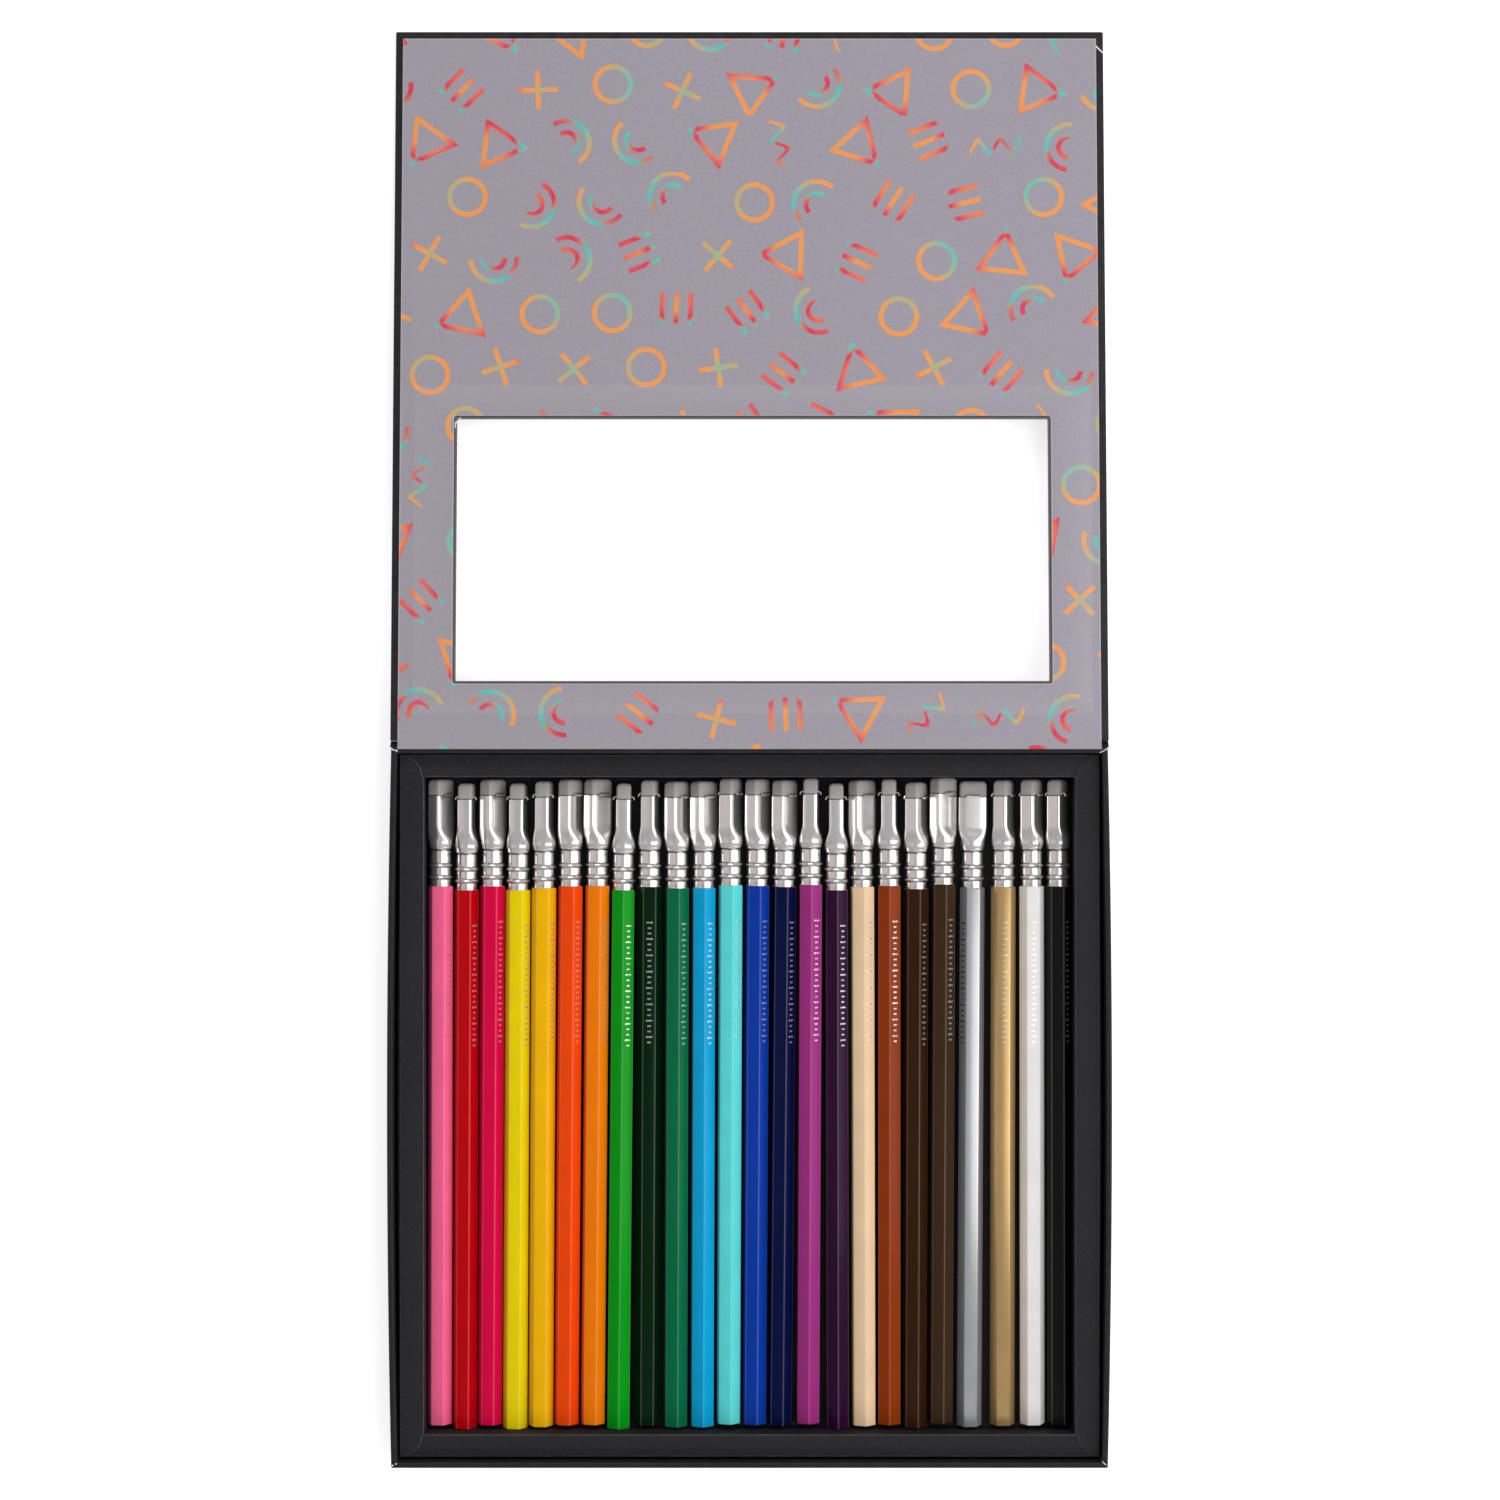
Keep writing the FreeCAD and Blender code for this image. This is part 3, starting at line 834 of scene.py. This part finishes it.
# %% How each pencil lies
END_BAND = 0.3


def roll_of(points, start, side, up, folds_over, least):
    """Angle of a shape that looks the same folds_over times in a turn, from its far points."""
    total = 0
    for p in points:
        x = (p - start).dot(side)
        z = (p - start).dot(up)
        reach = math.hypot(x, z)
        if reach > least:
            total += cmath.rect(reach ** 2, folds_over * math.atan2(x, z))
    return cmath.phase(total) / folds_over


def middle_of(points):
    lows = [min(p[k] for p in points) for k in range(3)]
    highs = [max(p[k] for p in points) for k in range(3)]
    return (Vector(lows) + Vector(highs)) / 2


class Lie:
    """A pencil's axis, its side and up directions, and the rolls of its barrel and head."""

    def __init__(self, pencil, eraser):
        barrel = [v.co / MM for v in frame["nodes"][pencil].data.vertices]
        rubber = [v.co / MM for v in frame["nodes"][eraser].data.vertices]
        low = min(p.y for p in barrel)
        high = max(p.y for p in rubber)
        end = [p for p in barrel if p.y < low + END_BAND]
        tip = [p for p in rubber if p.y > high - END_BAND]
        self.start = middle_of(end)
        ahead = middle_of(tip) - self.start
        self.length = ahead.length
        self.ahead = ahead.normalized()
        self.up = (Vector((0, 0, 1)) - self.ahead * self.ahead.z).normalized()
        self.side = self.ahead.cross(self.up)
        corner = roll_of(end, self.start, self.side, self.up, 6, 3.5)
        wide_way = roll_of(tip, middle_of(tip), self.side, self.up, 2, 1.0)
        self.barrel_roll = corner - math.radians(30)
        self.head_roll = wide_way - math.radians(90)

    def put(self, x, along, z, roll):
        """A point of the pencil, turned by its roll, in the box."""
        across = x * math.cos(roll) + z * math.sin(roll)
        rise = z * math.cos(roll) - x * math.sin(roll)
        return self.start + self.side * across + self.ahead * along + self.up * rise


pencil_nodes = sorted(n for n in frame["nodes"] if n.startswith("pencil_"))
lies = {n: Lie(n, "eraser_" + n[7:9]) for n in pencil_nodes}
first = lies[pencil_nodes[0]]
turns = [round(math.degrees(roll), 1) for roll in (first.barrel_roll, first.head_roll)]
print("first pencil", round(first.length, 2), "mm long, barrel and head turned by", turns)


# %% [markdown]
# A pencil's barrel is dipped in lacquer many times, which rounds its edges and makes it glossy.
# One function makes a lacquer of any colour: a base that varies a little, a painted highlight
# along the rounded edges, a fine ripple, a thin clear coat and, for silver and gold, metal flakes.
# A row of foil ticks is stamped on one face, like a ruler's. The mesh's points say how far a place
# is from the ferrule and from the middle of that face, and which points lie on the rounded edges
# that get the painted highlight.

# %% Lacquer
TICK_PITCH = 1.7
TICKS_FROM = 10.0
TICKS_TO = 49.0


def foil_ticks(place):
    """1 on the foil: every third tick is a tall one, and the foil is a little worn."""
    along, offset, facet = place.stored("foil", "Vector").parts()
    count = along / TICK_PITCH
    tick = abs(count.fraction() - 0.5)
    tall = (count / 3).fraction().below(0.34) * 0.45 + 0.6
    foil = ((0.17 - tick) * 14).clamped() * ((tall - abs(offset)) * 9).clamped()
    foil = foil * facet.above(0.98) * (along.above(TICKS_FROM) * along.below(TICKS_TO))
    return foil * ((place.noise(1.4, 2.0) - 0.2) * 3).clamped()


def lacquer(name, colour, flakes=0.0):
    material, place = new_finish("lacquer_" + name)
    dark = tuple(c * 0.86 for c in colour[:3]) + (1.0,)
    light = tuple(min(c * 1.02, 1.0) for c in colour[:3]) + (1.0,)
    # Painted highlight: points on the rounded edges, marked "edge" on the mesh, are blended towards
    # this paler colour.
    painted_edge_highlight = tuple(c * 0.6 + 0.3 for c in colour[:3]) + (1.0,)
    flow = place.noise(0.12, 2.0).blended(dark, light)
    flow_with_highlight = (place.stored("edge") * 0.22).blended(flow, painted_edge_highlight)
    foil = foil_ticks(place)
    return finished(
        material, base_color=(foil * 0.8).blended(flow_with_highlight, paint(205, 203, 200)),
        metallic=foil * 0.7 + flakes, roughness=0.24, specular_ior_level=0.07, coat_weight=0.04,
        coat_roughness=0.12, normal=place.noise(0.7, 2.0).bumps(0.012),
    )


print("ticks run from", TICKS_FROM, "to", TICKS_TO, "mm before the ferrule")


# %% [markdown]
# The bare end is sawn cedar, whose year rings show, round a coloured core. The ferrule is drawn
# aluminium: bright and a little streaked along, with painted grey-brown shade in its grooves, crimp
# and mouth. The eraser is plain grey rubber with a dusty surface.

# %% Wood, metal and rubber
def cedar():
    material, place = new_finish("bare_cedar")
    x, y, z = place.parts()
    flat = place.node("CombineXYZ", {}, {0: x, 1: y * 0.05, 2: z})
    year_rings = flat.node("TexWave", {"wave_type": "RINGS", "rings_direction": "Y"}, {
        "Vector": flat, "Scale": 0.7, "Distortion": 3.0, "Detail": 2.0,
    }, "Fac")
    grain = year_rings * 0.6 + flat.noise(3.0) * 0.4
    colour = grain.blended(paint(182, 128, 88), paint(224, 178, 132))
    return finished(material, base_color=colour, roughness=0.75)


def aluminium():
    material, place = new_finish("ferrule_aluminium")
    x, y, z = place.parts()
    drawn = place.node("CombineXYZ", {}, {0: x * 4, 1: y * 0.15, 2: z * 4})
    streaks = drawn.noise(1.6, 3.0)
    smudge = (place.noise(0.25, 3.0) * 0.5 + streaks * 0.5).clamped()
    clean = smudge.blended(paint(220, 215, 209), paint(238, 238, 240))
    # Painted shade: the grooves beside the beads, the crimp and the inside of the mouth are
    # darkened grey-brown.
    shaded_metal = (place.stored("groove") * 0.8).blended(clean, paint(96, 86, 76))
    return finished(
        material, base_color=shaded_metal, metallic=0.88, roughness=0.18 + streaks * 0.08,
    )


def rubber():
    material, place = new_finish("grey_rubber")
    dust = place.noise(1.3, 5.0)
    marks = ((place.noise(0.8, 2.0) - 0.6) * 5).clamped()
    base = dust.blended(paint(150, 148, 144), paint(174, 172, 168))
    colour = (marks * 0.5).blended(base, paint(178, 178, 175))
    return finished(material, base_color=colour, roughness=0.78, normal=dust.bumps(0.03))


wood = cedar()
ferrule_metal = aluminium()
eraser_rubber = rubber()
print("finishes", wood.name, ferrule_metal.name, eraser_rubber.name)


# %% [markdown]
# The colours in the order of the row, picked under the lights below. Silver and gold lacquer
# hold flakes, so they are part metal.

# %% The colours
LACQUERS = {
    "pink": (255, 104, 150), "red": (194, 1, 14), "crimson": (222, 4, 70), "yellow": (238, 214, 4),
    "golden_yellow": (246, 186, 3), "vermilion": (246, 74, 2), "orange": (248, 128, 2),
    "bright_green": (2, 156, 20), "dark_green": (2, 34, 8), "emerald": (2, 110, 68),
    "sky_blue": (2, 164, 216), "aqua": (96, 224, 221), "royal_blue": (8, 58, 164),
    "navy": (4, 14, 62), "magenta": (162, 48, 130), "dark_purple": (46, 8, 48),
    "peach": (241, 208, 168), "sienna": (146, 54, 4), "dark_brown": (54, 28, 10),
    "olive_brown": (62, 42, 24), "silver_grey": (184, 185, 187), "gold": (197, 163, 109),
    "white": (238, 237, 233), "black": (20, 19, 21),
}
FLAKES = {"silver_grey": 0.6, "gold": 0.6}
lacquers = {
    name: lacquer(name, paint(*rgb), FLAKES.get(name, 0.0)) for name, rgb in LACQUERS.items()
}
print("lacquers", len(lacquers))


# %% [markdown]
# The ferrule begins as a tube. Rolling presses two beads and a crimp into it, then the mouth is
# squeezed flat round a block eraser. Squeezed sheet metal keeps slightly crowned faces, so all its
# sections come from one curve, a superellipse: a circle at power 2 and nearly a rectangle at power
# 6. So the tube turns into the flat mouth by sliding three numbers.

# %% Sections of barrel and ferrule
PER_CORNER = 9


def section(half_a, half_b, square):
    """Closed curve as (x, z) points: an ellipse at power 2, nearer a rectangle at more."""
    points = []
    for k in range(4 * PER_CORNER):
        turn = math.tau * (k + 0.5) / (4 * PER_CORNER)
        x = math.cos(turn)
        z = math.sin(turn)
        points.append((
            half_a * math.copysign(abs(x) ** (2 / square), x),
            half_b * math.copysign(abs(z) ** (2 / square), z),
        ))
    return points


def hexagon(flats, rounding, steps=3):
    """Hexagon with rounded edges and a flat side up, as (x, z) points."""
    corner = flats / math.sqrt(3) - rounding * 2 / math.sqrt(3)
    points = []
    for k in range(6):
        middle = 30 + 60 * k
        for j in range(steps + 1):
            turn = math.radians(middle - 30 + 60 * j / steps)
            base = math.radians(middle)
            points.append((
                corner * math.sin(base) + rounding * math.sin(turn),
                corner * math.cos(base) + rounding * math.cos(turn),
            ))
    return points


flats = 6.9
edge_round = 0.55
barrel_end = 168.4
print("a section has", len(section(1, 1, 2)), "points, a hexagon", len(hexagon(flats, edge_round)))


# %% [markdown]
# The ferrule is a stack of such sections. From the barrel to the head: a sleeve with two pressed
# beads, a deep crimp, a shoulder that swells a little, the squeezed stretch, and the mouth, which
# turns in over its wall and goes back down inside.

# %% Ferrule
sleeve = 3.2
shoulder = 3.78
squeeze_start = 13.6
squeeze_length = 6.0
mouth = 28.4
mouth_deep = 6.3
wide = 4.5
thick = 2.4
squared = 6.0
wall = 0.4


def bead(middle):
    """A pressed bead as (distance, radius, painted shade): the grooves beside it are painted
    darker.
    """
    rises = [(0.7, 0.02, 0.9), (0.48, 0.22, 0), (0.25, 0.46, 0)]
    before = [(middle - away, sleeve + rise, painted_shade) for away, rise, painted_shade in rises]
    after = [(middle + away, sleeve + rise, painted_shade) for away, rise, painted_shade in rises]
    return before + [(middle, sleeve + 0.56, 0)] + after[::-1]


def round_rows():
    """The round part, from its rolled edge on the barrel to its shoulder."""
    start = [(0, 3.1, 0.5), (0.06, 3.24, 0), (0.3, 3.28, 0), (0.55, sleeve, 0.3), (2, sleeve, 0)]
    between = [(3.8, sleeve, 0), (5.7, sleeve, 0)]
    crimp = [
        (7.5, sleeve, 0), (10.8, sleeve, 0), (11.15, 3.14, 0.3), (11.35, 2.85, 1), (11.6, 2.85, 1),
    ]
    swell = [
        (11.68, 3.36, 0.5), (11.9, 3.46, 0), (12.2, 3.48, 0), (12.7, 3.6, 0), (13.1, 3.72, 0),
        (squeeze_start, shoulder, 0),
    ]
    return start + bead(2.9) + between + bead(6.6) + crimp + swell


def ferrule_sections():
    """(distance from the start, half width, half thickness, power, painted shade) of each ring."""
    rows = [(s, r, r, 2.0, painted_shade) for s, r, painted_shade in round_rows()]
    for k in range(1, 13):
        share = k / 12
        eased = share * share * (3 - 2 * share)
        rows.append((
            squeeze_start + squeeze_length * share, shoulder + (wide - shoulder) * eased,
            shoulder + (thick - shoulder) * eased, 2 + (squared - 2) * eased, 0,
        ))
    rows.append((mouth - 0.12, wide, thick, squared, 0))
    rows.append((mouth, wide - 0.1, thick - 0.1, squared, 0.2))
    rows += [(s, wide - wall, thick - wall, squared, 1) for s in (mouth, mouth - mouth_deep)]
    return rows


print("a ferrule has", len(ferrule_sections()), "rings of", 4 * PER_CORNER, "points")


# %% [markdown]
# The eraser is held by a bent metal strip: under its tail, up both wide sides inside the mouth, and
# out over the lip in two small hooks. The strip is drawn as a path with a thickness. The rubber
# block itself stands five millimetres out and has slightly worn edges.

# %% Clip and eraser
clip_thick = 0.32
clip_half = 2.1
clip_deep = 6.15
leg = 1.8
lip_high = 0.05
hook = 0.72
hook_turn = 200


def clip_path():
    """Middle line of the strip as (along, up) points, from one hook down, across and up."""
    upper = [(mouth - clip_deep, leg), (mouth + lip_high, leg)]
    for k in range(1, 12):
        turn = math.radians(hook_turn * k / 11)
        rise = mouth + lip_high + hook * math.sin(turn)
        upper.append((rise, leg + hook - hook * math.cos(turn)))
    lower = [(s, -z) for s, z in upper]
    return lower[::-1] + upper


def clip_rings():
    """The strip's outline at its two cut edges: the path set off by half its thickness."""
    middle = clip_path()
    outer = []
    inner = []
    for k, (s, z) in enumerate(middle):
        before = middle[max(k - 1, 0)]
        after = middle[min(k + 1, len(middle) - 1)]
        run = Vector((after[0] - before[0], after[1] - before[1])).normalized() * clip_thick / 2
        outer.append((s - run.y, z + run.x))
        inner.append((s + run.y, z - run.x))
    path = outer + inner[::-1]
    return [[(px, s, z) for s, z in path] for px in (-clip_half, clip_half)]


def eraser_rings():
    """Tail in the mouth, then the block with its edges rounded."""
    # (distance from the mouth, half width, half thickness, power)
    rows = [
        (-5.8, 3.0, 1.35, 8), (0.03, 3.0, 1.35, 8), (0.03, 3.95, 1.98, 8), (0.2, 4.15, 2.18, 8),
        (0.7, 4.22, 2.27, 8), (3.7, 4.2, 2.25, 8), (4.2, 4.1, 2.16, 7), (4.6, 3.88, 1.96, 6),
        (4.87, 3.5, 1.62, 5), (5.0, 3.0, 1.2, 4),
    ]
    return [[(x, mouth + s, z) for x, z in section(a, b, power)] for s, a, b, power in rows]


print("clip points", len(clip_path()), "eraser rings", len(eraser_rings()))


# %% [markdown]
# A barrel is a hexagon pushed along, with its ends rounded a little. Its face for the foil is the
# one between two rows of points. Those points carry their distance from the ferrule and from the
# face's middle line. The two ends are the last faces that the skin made, and they are bare wood.

# %% Barrel and core
core_round = 1.85
core_shown = 3.0
end_rows = ((0.0, 0.25), (0.12, 0.07), (0.35, 0.0), (barrel_end - 0.3, 0.0), (barrel_end, 0.12))
usual_face = (3, 4)
silver_face = (23, 0)


def pencil_piece(kind, name, rings, finish, covers, marks=None, sharp=38):
    """A piece that rides with its pencil."""
    points, faces = skin(rings)
    full_name = kind + "_" + name[7:9]
    return piece(full_name, points, faces, finish, name[:9], [covers], marks, sharp)


def add_barrel(name, colour, lie):
    rings = []
    foil = []
    edge = []
    before, after = silver_face if colour == "silver_grey" else usual_face
    for along, shrink in end_rows:
        outline = hexagon(flats - 2 * shrink, edge_round - shrink * 0.5)
        rings.append([lie.put(x, along, z, lie.barrel_roll) for x, z in outline])
        half_facet = math.dist(outline[before], outline[after]) / 2
        offsets = {before: -half_facet, after: half_facet}
        for k in range(len(outline)):
            foil.append((barrel_end - along, offsets.get(k, 0.0), float(k in offsets)))
            # Points in the middle of each rounded edge carry the lacquer's painted highlight.
            edge.append(float(k % 4 in (1, 2)))
    barrel = pencil_piece(
        "barrel", name, rings, [lacquers[colour], wood], name,
        {"foil": foil, "edge": edge}, 50,
    )
    for end in (-2, -1):
        barrel.data.polygons[end].material_index = 1


def add_core(name, colour, lie):
    circle = [cmath.rect(core_round, math.tau * k / 24) for k in range(24)]
    rings = [
        [lie.put(p.real, along, p.imag, lie.barrel_roll) for p in circle]
        for along in (-0.02, core_shown)
    ]
    pencil_piece("core", name, rings, lacquers[colour], name)


print("barrels are", flats, "mm across their flats")


# %% [markdown]
# Ferrule, clip and eraser share the head's roll, which differs from the barrel's: a pencil is put
# together as it comes. All pieces of a pencil ride together, because it is lifted out whole.

# %% The row of pencils
def placed(lie, rings):
    return [[lie.put(x, barrel_end + s, z, lie.head_roll) for x, s, z in ring] for ring in rings]


def add_head(name, lie):
    sections = ferrule_sections()
    rings = [[(x, s, z) for x, z in section(a, b, power)] for s, a, b, power, _ in sections]
    # The painted shade of the grooves, crimp and mouth goes onto the ferrule's points.
    painted_shade = {"groove": [float(row[4]) for row in sections for _ in rings[0]]}
    pencil_piece("ferrule", name, placed(lie, rings), ferrule_metal, name, painted_shade, 39)
    eraser = "eraser_" + name[7:9]
    pencil_piece("clip", name, placed(lie, clip_rings()), ferrule_metal, eraser)
    rings = placed(lie, eraser_rings())
    pencil_piece("rubber", name, rings, eraser_rubber, eraser, None, 60)


for name in pencil_nodes:
    add_barrel(name, name[10:], lies[name])
    add_core(name, name[10:], lies[name])
    add_head(name, lies[name])
print("pencils", len(pencil_nodes))


# %% [markdown]
# The floor is plain and a little luminous, as an evenly lit white sweep is. It, the lamps and what
# they aim at are placed in metres, since nothing of the box depends on them.

# %% Floor
def floor_finish():
    material, _ = new_finish("floor_white")
    return finished(
        material, base_color=(0.9, 0.9, 0.9, 1.0), roughness=0.9,
        emission_color=(1.0, 1.0, 1.0, 1.0), emission_strength=0.55,
    )


reach = 3.0
corners = [(-reach, -reach, 0), (reach, -reach, 0), (reach, reach, 0), (-reach, reach, 0)]
floor_mesh = bpy.data.meshes.new("floor")
floor_mesh.from_pydata(corners, [], [(0, 1, 2, 3)])
floor_mesh.materials.append(floor_finish())
floor = bpy.data.objects.new("floor", floor_mesh)
bpy.context.scene.collection.objects.link(floor)
print("floor is", 2 * reach, "m wide")


# %% [markdown]
# The light is soft and comes mostly from the right. Metal shows a lamp's shape, so the large panel
# stays off the overhead direction: flats that face the camera then look satin and not white. A weak
# warm panel on the left keeps the left sides dim and a little brown.

# %% Light
def soft_light(name, place, aim, size, power, shade=(1.0, 1.0, 1.0)):
    lamp = bpy.data.lights.new(name, "AREA")
    lamp.shape = "RECTANGLE"
    lamp.size, lamp.size_y = size
    lamp.energy = power
    lamp.color = shade
    obj = bpy.data.objects.new(name, lamp)
    obj.location = place
    obj.rotation_euler = (Vector(aim) - Vector(place)).to_track_quat("-Z", "Y").to_euler()
    bpy.context.scene.collection.objects.link(obj)


centre = (0.0, 0.11, 0.0)
soft_light("key_panel", (0.975, 0.1, 1.175), centre, (1.0, 1.7), 11.0)
soft_light("right_panel", (1.3, 0.1, 0.75), centre, (1.0, 2.2), 6.2)
soft_light("left_panel", (-1.3, 0.1, 0.9), centre, (1.0, 2.2), 1.7, (1.0, 0.76, 0.6))
soft_light("far_panel", (0.0, 1.5, 1.2), centre, (1.2, 0.6), 5.5)
soft_light("near_panel", (0.0, -1.2, 1.2), centre, (1.2, 0.6), 2.4)
world = bpy.data.worlds.new("studio")
world.use_nodes = True
world.node_tree.nodes["Background"].inputs["Color"].default_value = (0.95, 0.96, 1.0, 1.0)
world.node_tree.nodes["Background"].inputs["Strength"].default_value = 0.4
bpy.context.scene.world = world
bpy.context.scene.view_settings.view_transform = "Standard"
bpy.context.scene.view_settings.exposure = 0.05
print("lights", len(bpy.data.lights))


# %% [markdown]
# The photograph looks straight down from about a metre, at a place just in front of the hinge.

# %% Camera
camera_side = 0.15
camera_before_hinge = 0.74
camera_high = 1019.0
lens = bpy.data.cameras.new("portrait")
lens.sensor_width = 36.0
lens.lens = 77.6
camera = bpy.data.objects.new("portrait", lens)
camera.location = Vector((camera_side, half_deep - camera_before_hinge, camera_high)) * MM
bpy.context.scene.collection.objects.link(camera)
bpy.context.scene.camera = camera
print("camera", [round(v, 4) for v in camera.location])
